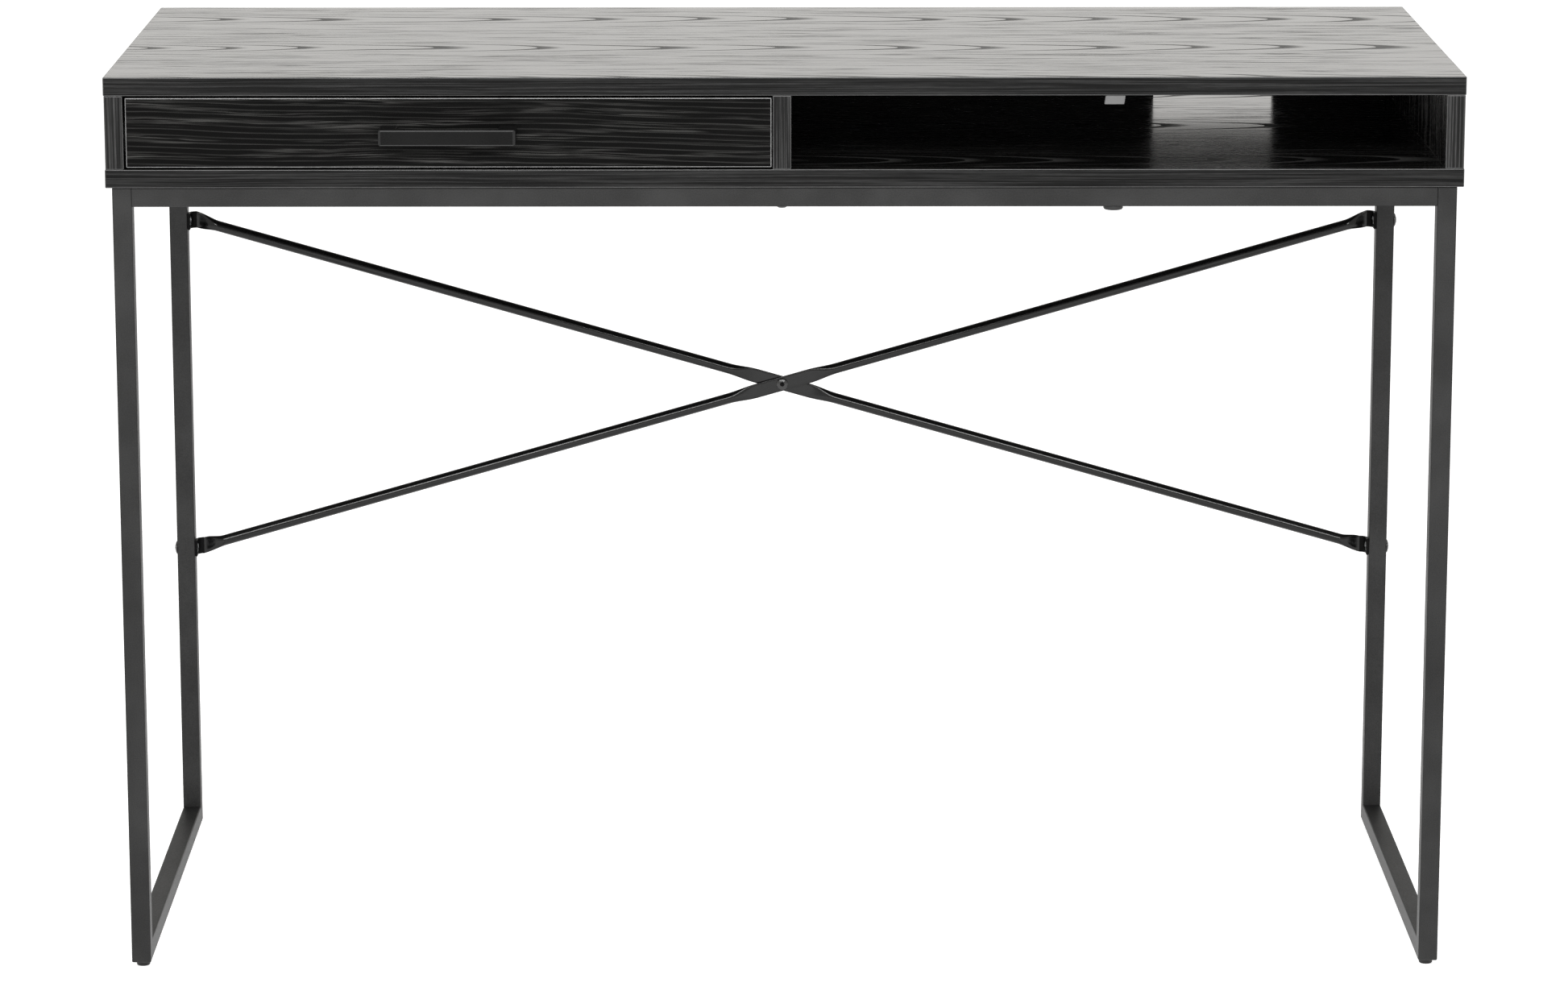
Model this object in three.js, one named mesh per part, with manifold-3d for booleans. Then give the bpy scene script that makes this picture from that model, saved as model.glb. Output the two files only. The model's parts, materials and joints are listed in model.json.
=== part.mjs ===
// A writing desk. A shallow carcass of black wood-grain boards holds one drawer on roller runners
// beside an open compartment, and stands on a frame of square steel tube: two closed side loops,
// a front and a rear rail, and a cross brace between the rear legs.
// Millimetres. +X is to the right of someone facing the desk, +Y runs from front to back, +Z is up.
// The origin is on the floor, under the middle of the whole desk with its drawer handle.

import * as THREE from "three";
import { LoftGeometry } from "three/addons/geometries/LoftGeometry.js";
import { mergeVertices } from "three/addons/utils/BufferGeometryUtils.js";
import Module from "manifold-3d";

// Overall size
const WIDTH = 1100;
const DEPTH = 450;
const HEIGHT = 750;

// Carcass boards
const BOARD = 15;
const BAY_HEIGHT = 60;
const SIDE_INSET = 0.5;
const DIVIDER_X = -2.5;
const NOTCH_X = 382;
const NOTCH_WIDTH = 106;
const NOTCH_HEIGHT = 30;

// Steel frame
const TUBE = 16;
const TUBE_WALL = 1.2;
const FRAME_WIDTH = 1090;
const FRAME_DEPTH = 445;
const FRAME_SETBACK = 3;
const FOOT_HEIGHT = 6;
const FOOT_RADIUS = 5.6;
const FOOT_INSET = 15;
const FOOT_STEM_RADIUS = 2.5;
const FOOT_STEM = 8;
const PAD_X = 266.5;
const PAD_RADIUS = 8;
const PAD_HEIGHT = 3.6;
const PAD_STEM = 7;

// Cross brace of round tube, pressed flat at its ends and where it crosses
const BRACE_RADIUS = 4.75;
const BRACE_TOP_Z = 561;
const BRACE_BOTTOM_Z = 263;
const BRACE_AXIS_INSET = 5.5;
const PRESSED_THICKNESS = 2.4;
const CROSSING_WIDTH = 12.7;
const CROSSING_FLAT = 24;
const CROSSING_TAPER = 26;
const TAB_WIDTH = 14.8;
const TAB_BEND = 6;
const TAB_TAPER = 32;
const BRACE_SIDES = 10;

// Drawer
const FRONT_GAP_LEFT = 2;
const FRONT_GAP_RIGHT = 1;
const FRONT_GAP_HEIGHT = 1.7;
const RUNNER_SPACE = 12.5;
const DRAWER_SIDE = 12;
const DRAWER_SIDE_HEIGHT = 40;
const DRAWER_SIDE_Z = 26;
const DRAWER_SIDE_LENGTH = 360;
const DRAWER_BOTTOM = 3;
const DRAWER_BOTTOM_Z = 32;
const GROOVE_DEPTH = 5;

// Drawer handle, a square-cornered bow
const HANDLE_LENGTH = 110;
const HANDLE_HEIGHT = 12.5;
const HANDLE_PROJECTION = 30;
const HANDLE_BAR = 9;
const HANDLE_LEG = 14;
const HANDLE_CHAMFER = 2;
const HANDLE_SCREW_DEPTH = 11;

// Roller runners of pressed sheet steel
const SHEET = 1.2;
const RUNNER_LENGTH = 350;
const RUNNER_Z = 28;
const RUNNER_SETBACK = 18;
const ROLLER_RADIUS = 8.7;
const ROLLER_WIDTH = 5.8;
const ROLLER_FROM_END = 12;
const CABINET_ROLLER_Z = 38.4;
const DRAWER_ROLLER_Z = 38.2;
const AXLE_RADIUS = 2.5;

// Clip under the desktop's front edge
const CLIP_X = 267;
const CLIP_SIZE = [16, 5, 7.5];
const CLIP_LEAN = 1.1;
const CLIP_SETBACK = 2;

// Fasteners
const DOWEL_RADIUS = 4;
const DOWEL_LENGTH = 28;
const DOWEL_DEPTH_IN_TOP = 10;
const CONFIRMAT_RADIUS = 3.3;
const CONFIRMAT_HEAD_RADIUS = 4.8;
const CONFIRMAT_HEAD = 3;
const CONFIRMAT_LENGTH = 48;
const SCREW_RADIUS = 2;
const SCREW_HEAD_RADIUS = 4.75;
const SCREW_HEAD_HEIGHT = 1.8;
const FRAME_SCREW_LENGTH = 27;
const RAIL_SCREW_LENGTH = 56;
const BOLT_RADIUS = 3;
const END_BOLT_HEAD_RADIUS = 6;
const END_BOLT_HEAD_HEIGHT = 2.3;
const CENTRE_BOLT_HEAD_RADIUS = 5.3;
const CENTRE_BOLT_HEAD_HEIGHT = 2.2;
const NUT_HEIGHT = 3;
const NUT_RADIUS = 5.6;

// Making
const CLEARANCE = 0.3;
const OVERCUT = 1;
const ROUND_SIDES = 12;
const ROLLER_SIDES = 24;
const MERGE_DISTANCE = 1e-4;

// Places worked out from the sizes above
const FRONT_Y = (HANDLE_PROJECTION - DEPTH) / 2;
const CARCASS_HEIGHT = BAY_HEIGHT + 2 * BOARD;
const CARCASS_Z = HEIGHT - CARCASS_HEIGHT;
const TOP_Z = CARCASS_HEIGHT - BOARD;
const SIDE_OUTER = WIDTH / 2 - SIDE_INSET;
const SIDE_INNER = SIDE_OUTER - BOARD;
const SIDE_CENTRE = SIDE_OUTER - BOARD / 2;
const BAY_RIGHT = DIVIDER_X - BOARD / 2;
const BAY_LEFT = -SIDE_INNER;
const DRAWER_LEFT = BAY_LEFT + RUNNER_SPACE;
const DRAWER_RIGHT = BAY_RIGHT - RUNNER_SPACE;
const FRONT_LEFT = BAY_LEFT + FRONT_GAP_LEFT;
const FRONT_RIGHT = BAY_RIGHT - FRONT_GAP_RIGHT;
const HANDLE_X = (FRONT_LEFT + FRONT_RIGHT) / 2;
const HANDLE_Z = CARCASS_HEIGHT / 2;
const DRAWER_BACK_Y = BOARD + DRAWER_SIDE_LENGTH;
const FRAME_FRONT = FRONT_Y + FRAME_SETBACK;
const FRAME_BACK = FRAME_FRONT + FRAME_DEPTH;
const FRAME_TOP = CARCASS_Z;
const LEG_OUTER = FRAME_WIDTH / 2;
const LEG_INNER = LEG_OUTER - TUBE;
const LEG_CENTRE = LEG_OUTER - TUBE / 2;
const RAIL_LENGTH = 2 * LEG_INNER;
const FRONT_RAIL_Y = FRAME_FRONT + TUBE / 2;
const REAR_RAIL_Y = FRAME_BACK - TUBE / 2;
const FRAME_UNDERSIDE = FRAME_TOP - TUBE;
const FOOT_YS = [FRAME_FRONT + FOOT_INSET, FRAME_BACK - FOOT_INSET];
const CROSSING_Z = (BRACE_TOP_Z + BRACE_BOTTOM_Z) / 2;
const BRACE_HALF_CLIMB = (BRACE_TOP_Z - BRACE_BOTTOM_Z) / 2;
const BRACE_Y = FRAME_BACK - BRACE_AXIS_INSET;
const BLADE_Y = FRAME_BACK - 1 - PRESSED_THICKNESS / 2;
const TAB_FRONT_Y = FRAME_BACK - TUBE;
const END_BOLT_Y = TAB_FRONT_Y + 5.5;
const CONFIRMAT_YS = [70, 380];
const DOWEL_YS = [60, 390];
const FRAME_SCREW_YS = [100, 330];
const DIVIDER_CONFIRMAT_Y = 300;

// Materials
const MATERIALS = {
  wood: { color: 0x1b1a19, roughness: 0.5, metalness: 0 },
  frame: { color: 0x3f3f40, roughness: 0.75, metalness: 0.2 },
  handle: { color: 0x1e1e1f, roughness: 0.45, metalness: 0.3 },
  drawerBox: { color: 0x232221, roughness: 0.6, metalness: 0 },
  runner: { color: 0x2a2a2b, roughness: 0.5, metalness: 0.3 },
  zinc: { color: 0xb4b6b8, roughness: 0.35, metalness: 0.9 },
  blackBolt: { color: 0x2c2c2d, roughness: 0.5, metalness: 0.5 },
  foot: { color: 0x141414, roughness: 0.7, metalness: 0 },
  roller: { color: 0xd8d8d4, roughness: 0.5, metalness: 0 },
  clip: { color: 0x8c8c8c, roughness: 0.6, metalness: 0 },
  beech: { color: 0xc8a878, roughness: 0.8, metalness: 0 },
};

const finishes = Object.fromEntries(
  Object.entries(MATERIALS).map(([name, look]) => [name, new THREE.MeshStandardMaterial(look)]),
);

const wasm = await Module();
wasm.setup();

// ---- Shape helpers ----

// A box between two opposite corners.
function cuboid(low, high) {
  const size = high.map((value, i) => value - low[i]);
  const middle = high.map((value, i) => (value + low[i]) / 2);
  return new THREE.BoxGeometry(...size).translate(...middle);
}

// A round rod between two points.
function rod(radius, from, to, sides = ROUND_SIDES) {
  const start = new THREE.Vector3(...from);
  const span = new THREE.Vector3(...to).sub(start);
  const turn = new THREE.Quaternion().setFromUnitVectors(
    new THREE.Vector3(0, 1, 0),
    span.clone().normalize(),
  );
  const middle = start.addScaledVector(span, 0.5);
  return new THREE.CylinderGeometry(radius, radius, span.length(), sides)
    .applyQuaternion(turn)
    .translate(middle.x, middle.y, middle.z);
}

// A body of revolution about +Z, from [radius, height] points listed from its low end to its high end.
function turned(profile, sides = ROUND_SIDES) {
  const points = profile.map(([radius, height]) => new THREE.Vector2(radius, height));
  return new THREE.LatheGeometry(points, sides).rotateX(Math.PI / 2);
}

// A closed outline of [x, y] corners.
function outline(corners) {
  return new THREE.Shape(corners.map(([x, y]) => new THREE.Vector2(x, y)));
}

// The corners of a rectangle.
function rectangle(left, bottom, right, top) {
  return [
    [left, bottom],
    [right, bottom],
    [right, top],
    [left, top],
  ];
}

// A rectangle with a rectangular hole, as an outline to extrude.
function rectangularRing(outer, inner) {
  const ring = outline(rectangle(...outer));
  ring.holes.push(outline(rectangle(...inner)));
  return ring;
}

// Extrudes an outline drawn in the Y-Z plane along X, from x = 0.
function extrudeAlongX(shape, length) {
  const axes = new THREE.Matrix4().makeBasis(
    new THREE.Vector3(0, 1, 0),
    new THREE.Vector3(0, 0, 1),
    new THREE.Vector3(1, 0, 0),
  );
  return new THREE.ExtrudeGeometry(shape, { depth: length, bevelEnabled: false }).applyMatrix4(axes);
}

// Extrudes an outline drawn in the X-Z plane along Y, from y = 0.
function extrudeAlongY(shape, length) {
  return new THREE.ExtrudeGeometry(shape, { depth: length, bevelEnabled: false })
    .rotateX(Math.PI / 2)
    .translate(0, length, 0);
}

// The manifold solid of a closed geometry.
function solidOf(geometry) {
  const bare = new THREE.BufferGeometry();
  bare.setAttribute("position", geometry.getAttribute("position"));
  bare.setIndex(geometry.index);
  const merged = mergeVertices(bare, MERGE_DISTANCE);
  return new wasm.Manifold(
    new wasm.Mesh({
      numProp: 3,
      vertProperties: merged.attributes.position.array,
      triVerts: new Uint32Array(merged.index.array),
    }),
  );
}

function geometryOf(solid) {
  const mesh = solid.getMesh();
  const geometry = new THREE.BufferGeometry();
  geometry.setAttribute("position", new THREE.BufferAttribute(mesh.vertProperties, 3));
  geometry.setIndex(new THREE.BufferAttribute(mesh.triVerts, 1));
  return geometry;
}

// The first geometry with the others cut out of it.
function cut(geometry, tools) {
  const left = tools.reduce((solid, tool) => solid.subtract(solidOf(tool)), solidOf(geometry));
  return geometryOf(left);
}

// The geometries joined into one body.
function join(...geometries) {
  return geometryOf(geometries.map(solidOf).reduce((all, next) => all.add(next)));
}

// A named mesh in one of the finishes, at a place in its group.
function piece(name, geometry, finish, place = [0, 0, 0]) {
  const mesh = new THREE.Mesh(geometry, finishes[finish]);
  mesh.name = name;
  mesh.position.set(...place);
  return mesh;
}

// ---- Fasteners: each is turned about +Z, with its head at the low end ----

// A hexagonal socket that opens downwards at z = 0.
function socket(acrossCorners, depth) {
  return rod(acrossCorners / 2, [0, 0, -OVERCUT], [0, 0, depth], 6);
}

// A flat-headed wood connector for chipboard. Its head starts at z = 0.
function confirmatScrew() {
  const profile = [
    [0, 0],
    [CONFIRMAT_HEAD_RADIUS, 0],
    [CONFIRMAT_HEAD_RADIUS, 1],
    [CONFIRMAT_RADIUS, CONFIRMAT_HEAD],
    [CONFIRMAT_RADIUS, CONFIRMAT_LENGTH - 4],
    [0, CONFIRMAT_LENGTH],
  ];
  return cut(turned(profile), [socket(4.4, 2)]);
}

// A screw whose bevelled head lies below z = 0 and whose shank runs up from it.
function frameScrew(length) {
  const profile = [
    [0, -SCREW_HEAD_HEIGHT],
    [SCREW_HEAD_RADIUS - 1.2, -SCREW_HEAD_HEIGHT],
    [SCREW_HEAD_RADIUS, -0.5],
    [SCREW_HEAD_RADIUS, 0],
    [SCREW_RADIUS, 0],
    [SCREW_RADIUS, length - 3],
    [0, length],
  ];
  return cut(turned(profile), [socket(3.6, 0.6).translate(0, 0, -SCREW_HEAD_HEIGHT)]);
}

// A bolt with a domed head below z = 0 and a plain shank above.
function domedBolt(headRadius, headHeight, length) {
  const profile = [
    [0, -headHeight],
    [headRadius * 0.45, -headHeight * 0.96],
    [headRadius * 0.75, -headHeight * 0.72],
    [headRadius, -headHeight * 0.2],
    [headRadius, 0],
    [BOLT_RADIUS, 0],
    [BOLT_RADIUS, length],
    [0, length],
  ];
  const hexagon = socket(4.6, headHeight * 0.6 + OVERCUT / 4).translate(0, 0, -headHeight);
  return cut(turned(profile), [hexagon]);
}

// ---- Carcass: y = 0 at the boards' front edges, z = 0 under the bottom board ----

// The hole for a confirmat screw that goes up through the bottom board into an upright board.
function confirmatHole(x, y) {
  const shank = CONFIRMAT_RADIUS + CLEARANCE;
  const head = CONFIRMAT_HEAD_RADIUS + CLEARANCE;
  return join(
    rod(shank, [x, y, 0], [x, y, CONFIRMAT_LENGTH + 2 * CLEARANCE]),
    rod(head, [x, y, -OVERCUT], [x, y, CONFIRMAT_HEAD + 2 * CLEARANCE]),
  );
}

function dowelHole(x, y) {
  const bottom = TOP_Z + DOWEL_DEPTH_IN_TOP - DOWEL_LENGTH - CLEARANCE;
  const top = TOP_Z + DOWEL_DEPTH_IN_TOP + CLEARANCE;
  return rod(DOWEL_RADIUS + CLEARANCE, [x, y, bottom], [x, y, top]);
}

// The hole for the end of a frame screw, which has passed through the tube under the bottom board.
function frameScrewHole(x, y, length) {
  const tip = length - TUBE + CLEARANCE;
  return rod(SCREW_RADIUS + CLEARANCE, [x, y, -OVERCUT], [x, y, tip]);
}

function makeCarcass() {
  const carcass = new THREE.Group();
  carcass.position.set(0, FRONT_Y, CARCASS_Z);

  const sideXs = [-SIDE_CENTRE, SIDE_CENTRE];
  const dowelHoles = sideXs.flatMap((x) => DOWEL_YS.map((y) => dowelHole(x, y)));
  const sideScrewHoles = sideXs.flatMap((x) => CONFIRMAT_YS.map((y) => confirmatHole(x, y)));
  const dividerHole = confirmatHole(DIVIDER_X, DIVIDER_CONFIRMAT_Y);
  const frontRailHole = frameScrewHole(DIVIDER_X, FRONT_RAIL_Y - FRONT_Y, RAIL_SCREW_LENGTH);
  const rearRailHole = frameScrewHole(DIVIDER_X, REAR_RAIL_Y - FRONT_Y, RAIL_SCREW_LENGTH);
  const frameScrewHoles = [-LEG_CENTRE, LEG_CENTRE].flatMap((x) =>
    FRAME_SCREW_YS.map((y) => frameScrewHole(x, y, FRAME_SCREW_LENGTH)),
  );

  const top = cuboid([-WIDTH / 2, 0, TOP_Z], [WIDTH / 2, DEPTH, CARCASS_HEIGHT]);
  carcass.add(piece("desktop_top", cut(top, dowelHoles), "wood"));

  const bottom = cuboid([-WIDTH / 2, 0, 0], [WIDTH / 2, DEPTH, BOARD]);
  const bottomHoles = [
    ...sideScrewHoles,
    ...frameScrewHoles,
    dividerHole,
    frontRailHole,
    rearRailHole,
  ];
  carcass.add(piece("bottom_panel", cut(bottom, bottomHoles), "wood"));

  for (const [name, x] of [
    ["left_side_panel", -SIDE_CENTRE],
    ["right_side_panel", SIDE_CENTRE],
  ]) {
    const board = cuboid([x - BOARD / 2, 0, BOARD], [x + BOARD / 2, DEPTH, TOP_Z]);
    carcass.add(piece(name, cut(board, [...dowelHoles, ...sideScrewHoles]), "wood"));
  }

  const divider = cuboid(
    [DIVIDER_X - BOARD / 2, 0, BOARD],
    [DIVIDER_X + BOARD / 2, DEPTH - BOARD, TOP_Z],
  );
  carcass.add(piece("centre_divider", cut(divider, [dividerHole, frontRailHole]), "wood"));

  const back = cuboid([-SIDE_INNER, DEPTH - BOARD, BOARD], [SIDE_INNER, DEPTH, TOP_Z]);
  const cableNotch = cuboid(
    [NOTCH_X - NOTCH_WIDTH / 2, DEPTH - BOARD - OVERCUT, BOARD - OVERCUT],
    [NOTCH_X + NOTCH_WIDTH / 2, DEPTH + OVERCUT, BOARD + NOTCH_HEIGHT],
  );
  carcass.add(piece("back_panel", cut(back, [cableNotch, rearRailHole]), "wood"));

  addCarcassFasteners(carcass);
  return carcass;
}

function addCarcassFasteners(carcass) {
  const ends = ["front", "rear"];
  for (const [side, x] of [
    ["left", -SIDE_CENTRE],
    ["right", SIDE_CENTRE],
  ]) {
    ends.forEach((end, i) => {
      const confirmatName = `confirmat_screw_${side}_${end}`;
      const confirmatPlace = [x, CONFIRMAT_YS[i], CLEARANCE];
      carcass.add(piece(confirmatName, confirmatScrew(), "zinc", confirmatPlace));
      const dowelPlace = [x, DOWEL_YS[i], TOP_Z + DOWEL_DEPTH_IN_TOP - DOWEL_LENGTH];
      const dowel = rod(DOWEL_RADIUS, [0, 0, 0], [0, 0, DOWEL_LENGTH]);
      carcass.add(piece(`dowel_${side}_${end}`, dowel, "beech", dowelPlace));
    });
  }
  const dividerPlace = [DIVIDER_X, DIVIDER_CONFIRMAT_Y, CLEARANCE];
  carcass.add(piece("confirmat_screw_divider", confirmatScrew(), "zinc", dividerPlace));
}

// A small grey clip under the desktop's front edge, leaning a little to one side.
function makeClip() {
  const [width, thickness, height] = CLIP_SIZE;
  const corners = [
    [-width / 2 - CLIP_LEAN, -height],
    [width / 2 - CLIP_LEAN, -height],
    [width / 2, 0],
    [-width / 2, 0],
  ];
  const place = [CLIP_X, CLIP_SETBACK, TOP_Z];
  return piece("underside_clip", extrudeAlongY(outline(corners), thickness), "clip", place);
}

// ---- Drawer: in the carcass's frame ----

function makeDrawer() {
  const drawer = new THREE.Group();
  drawer.position.set(0, FRONT_Y, CARCASS_Z);

  const grooveLow = DRAWER_BOTTOM_Z - CLEARANCE;
  const grooveHigh = DRAWER_BOTTOM_Z + DRAWER_BOTTOM + CLEARANCE;
  const innerLeft = DRAWER_LEFT + DRAWER_SIDE;
  const innerRight = DRAWER_RIGHT - DRAWER_SIDE;
  const innerBack = DRAWER_BACK_Y - DRAWER_SIDE;
  const sideTop = DRAWER_SIDE_Z + DRAWER_SIDE_HEIGHT;
  const groove = cuboid(
    [innerLeft - GROOVE_DEPTH, BOARD - GROOVE_DEPTH, grooveLow],
    [innerRight + GROOVE_DEPTH, innerBack + GROOVE_DEPTH, grooveHigh],
  );

  const screwXs = [-1, 1].map((side) => HANDLE_X + (side * (HANDLE_LENGTH - HANDLE_LEG)) / 2);
  const screwHoles = screwXs.map((x) =>
    rod(
      SCREW_RADIUS + CLEARANCE,
      [x, -HANDLE_SCREW_DEPTH - CLEARANCE, HANDLE_Z],
      [x, BOARD + OVERCUT, HANDLE_Z],
    ),
  );

  const front = cuboid(
    [FRONT_LEFT, 0, BOARD + FRONT_GAP_HEIGHT],
    [FRONT_RIGHT, BOARD, TOP_Z - FRONT_GAP_HEIGHT],
  );
  drawer.add(piece("drawer_front", cut(front, [groove, ...screwHoles]), "wood"));

  for (const [name, x] of [
    ["drawer_left_side", DRAWER_LEFT],
    ["drawer_right_side", innerRight],
  ]) {
    const board = cuboid([x, BOARD, DRAWER_SIDE_Z], [x + DRAWER_SIDE, DRAWER_BACK_Y, sideTop]);
    drawer.add(piece(name, cut(board, [groove]), "drawerBox"));
  }

  const back = cuboid([innerLeft, innerBack, DRAWER_SIDE_Z], [innerRight, DRAWER_BACK_Y, sideTop]);
  drawer.add(piece("drawer_back", cut(back, [groove]), "drawerBox"));

  const bottom = cuboid(
    [innerLeft - GROOVE_DEPTH + CLEARANCE, BOARD - GROOVE_DEPTH + CLEARANCE, DRAWER_BOTTOM_Z],
    [
      innerRight + GROOVE_DEPTH - CLEARANCE,
      innerBack + GROOVE_DEPTH - CLEARANCE,
      DRAWER_BOTTOM_Z + DRAWER_BOTTOM,
    ],
  );
  drawer.add(piece("drawer_bottom", bottom, "drawerBox"));

  drawer.add(makeHandle(screwHoles));
  ["left", "right"].forEach((side, i) => {
    drawer.add(makeHandleScrew(`handle_screw_${side}`, screwXs[i]));
  });
  return drawer;
}

// The bow handle, drawn from above and extruded upwards.
function makeHandle(screwHoles) {
  const half = HANDLE_LENGTH / 2;
  const innerHalf = half - HANDLE_LEG;
  const front = -HANDLE_PROJECTION;
  const corners = [
    [-half, 0],
    [-half, front + HANDLE_CHAMFER],
    [-half + HANDLE_CHAMFER, front],
    [half - HANDLE_CHAMFER, front],
    [half, front + HANDLE_CHAMFER],
    [half, 0],
    [innerHalf, 0],
    [innerHalf, front + HANDLE_BAR],
    [-innerHalf, front + HANDLE_BAR],
    [-innerHalf, 0],
  ];
  const settings = { depth: HANDLE_HEIGHT, bevelEnabled: false };
  const bow = new THREE.ExtrudeGeometry(outline(corners), settings);
  bow.translate(HANDLE_X, 0, HANDLE_Z - HANDLE_HEIGHT / 2);
  return piece("drawer_handle", cut(bow, screwHoles), "handle");
}

// A pan-headed machine screw, pushed forward through the drawer front into the handle.
function makeHandleScrew(name, x) {
  const headHeight = 2.4;
  const tip = BOARD + HANDLE_SCREW_DEPTH;
  const profile = [
    [0, -headHeight],
    [3, -headHeight],
    [4, -1.6],
    [4, 0],
    [SCREW_RADIUS, 0],
    [SCREW_RADIUS, tip],
    [0, tip],
  ];
  const slot = cuboid([-3, -0.5, -headHeight - OVERCUT], [3, 0.5, -1.6]);
  const screw = piece(name, cut(turned(profile), [slot]), "zinc", [x, BOARD, HANDLE_Z]);
  screw.rotation.x = Math.PI / 2;
  return screw;
}

// ---- Runners: in the carcass's frame; side is -1 on the left of the drawer and 1 on its right ----

function makeRunners(side, sideName) {
  const runners = new THREE.Group();
  runners.position.set(0, FRONT_Y, CARCASS_Z);
  const wall = side < 0 ? BAY_LEFT : BAY_RIGHT;
  const space = (distance) => wall - side * distance;
  const flip = (corners) => (side < 0 ? corners : corners.slice().reverse());
  const section = (corners) => outline(flip(corners.map(([x, z]) => [space(x), z])));

  // A channel on the carcass wall, with a floor for the rear roller and a small lip over it.
  const floorWidth = 10;
  const lipWidth = 3.3;
  const channelTop = RUNNER_Z + 22.7;
  const channel = [
    [0, RUNNER_Z],
    [floorWidth, RUNNER_Z],
    [floorWidth, RUNNER_Z + SHEET],
    [SHEET, RUNNER_Z + SHEET],
    [SHEET, channelTop - SHEET],
    [lipWidth, channelTop - SHEET],
    [lipWidth, channelTop],
    [0, channelTop],
  ];
  const cabinetRunner = extrudeAlongY(section(channel), RUNNER_LENGTH);
  const cabinetPlace = [0, RUNNER_SETBACK, 0];
  runners.add(piece(`cabinet_runner_${sideName}`, cabinetRunner, "runner", cabinetPlace));

  // An angle under the drawer side, with a rail that rides on the front roller.
  const railWidth = 8.5;
  const footWidth = 8;
  const railTop = CABINET_ROLLER_Z + ROLLER_RADIUS + CLEARANCE + SHEET;
  const angle = [
    [RUNNER_SPACE + footWidth, DRAWER_SIDE_Z - SHEET],
    [RUNNER_SPACE + footWidth, DRAWER_SIDE_Z],
    [RUNNER_SPACE, DRAWER_SIDE_Z],
    [RUNNER_SPACE, railTop],
    [RUNNER_SPACE - railWidth, railTop],
    [RUNNER_SPACE - railWidth, railTop - SHEET],
    [RUNNER_SPACE - SHEET, railTop - SHEET],
    [RUNNER_SPACE - SHEET, DRAWER_SIDE_Z - SHEET],
  ];
  const drawerRunner = extrudeAlongY(section(angle), RUNNER_LENGTH);
  runners.add(piece(`drawer_runner_${sideName}`, drawerRunner, "runner", [0, BOARD, 0]));

  const cabinetRollerY = RUNNER_SETBACK + ROLLER_FROM_END;
  const drawerRollerY = BOARD + RUNNER_LENGTH - ROLLER_FROM_END;
  runners.add(
    ...makeRoller({
      names: [`cabinet_roller_${sideName}`, `cabinet_axle_${sideName}`],
      plate: [space(SHEET), cabinetRollerY, CABINET_ROLLER_Z],
      shoulder: 1,
      direction: -side,
    }),
    ...makeRoller({
      names: [`drawer_roller_${sideName}`, `drawer_axle_${sideName}`],
      plate: [space(RUNNER_SPACE - SHEET), drawerRollerY, DRAWER_ROLLER_Z],
      shoulder: 2.2,
      direction: side,
    }),
  );
  return runners;
}

// A plastic roller on a shouldered axle, which stands out of a runner's plate along X.
function makeRoller({ names, plate, shoulder, direction }) {
  const edge = 0.5;
  const bore = AXLE_RADIUS + CLEARANCE / 2;
  const rollerProfile = [
    [bore, 0],
    [ROLLER_RADIUS - edge, 0],
    [ROLLER_RADIUS, edge],
    [ROLLER_RADIUS, ROLLER_WIDTH - edge],
    [ROLLER_RADIUS - edge, ROLLER_WIDTH],
    [bore, ROLLER_WIDTH],
    [bore, 0],
  ];
  const seat = shoulder + ROLLER_WIDTH + CLEARANCE;
  const axleProfile = [
    [0, 0],
    [AXLE_RADIUS + 1.5, 0],
    [AXLE_RADIUS + 1.5, shoulder - CLEARANCE / 2],
    [AXLE_RADIUS, shoulder - CLEARANCE / 2],
    [AXLE_RADIUS, seat],
    [AXLE_RADIUS + 1.2, seat],
    [AXLE_RADIUS + 0.8, seat + 0.9],
    [0, seat + 0.9],
  ];
  const roller = piece(names[0], turned(rollerProfile, ROLLER_SIDES), "roller", plate);
  roller.position.x += direction * shoulder;
  const axle = piece(names[1], turned(axleProfile), "zinc", plate);
  for (const mesh of [roller, axle]) {
    mesh.rotation.y = (direction * Math.PI) / 2;
  }
  return [roller, axle];
}

// ---- Steel frame: in the part's frame ----

// A closed rectangle of square tube in the Y-Z plane, centred on x = 0, with its screw, bolt and
// foot holes.
function makeSideLoop() {
  const outer = [FRAME_FRONT, FOOT_HEIGHT, FRAME_BACK, FRAME_TOP];
  const inset = (distance) => [
    FRAME_FRONT + distance,
    FOOT_HEIGHT + distance,
    FRAME_BACK - distance,
    FRAME_TOP - distance,
  ];
  const skin = extrudeAlongX(rectangularRing(outer, inset(TUBE)), TUBE);
  const hollowRing = rectangularRing(inset(TUBE_WALL), inset(TUBE - TUBE_WALL));
  const hollow = extrudeAlongX(hollowRing, TUBE - 2 * TUBE_WALL);
  skin.translate(-TUBE / 2, 0, 0);
  hollow.translate(TUBE_WALL - TUBE / 2, 0, 0);

  const footHoles = FOOT_YS.map((y) =>
    rod(
      FOOT_STEM_RADIUS + CLEARANCE,
      [0, y, FOOT_HEIGHT - OVERCUT],
      [0, y, FOOT_HEIGHT + TUBE / 2],
    ),
  );
  const screwHoles = FRAME_SCREW_YS.map((y) =>
    rod(
      SCREW_RADIUS + CLEARANCE,
      [0, FRONT_Y + y, FRAME_UNDERSIDE - OVERCUT],
      [0, FRONT_Y + y, FRAME_TOP + OVERCUT],
    ),
  );
  const boltHoles = [BRACE_BOTTOM_Z, BRACE_TOP_Z].map(endBoltHole);
  return cut(skin, [hollow, ...footHoles, ...screwHoles, ...boltHoles]);
}

// A hole along X for a bolt between a rear leg and a brace, on both sides of x = 0.
function endBoltHole(z) {
  return rod(BOLT_RADIUS + CLEARANCE, [-TUBE, END_BOLT_Y, z], [TUBE, END_BOLT_Y, z]);
}

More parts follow.
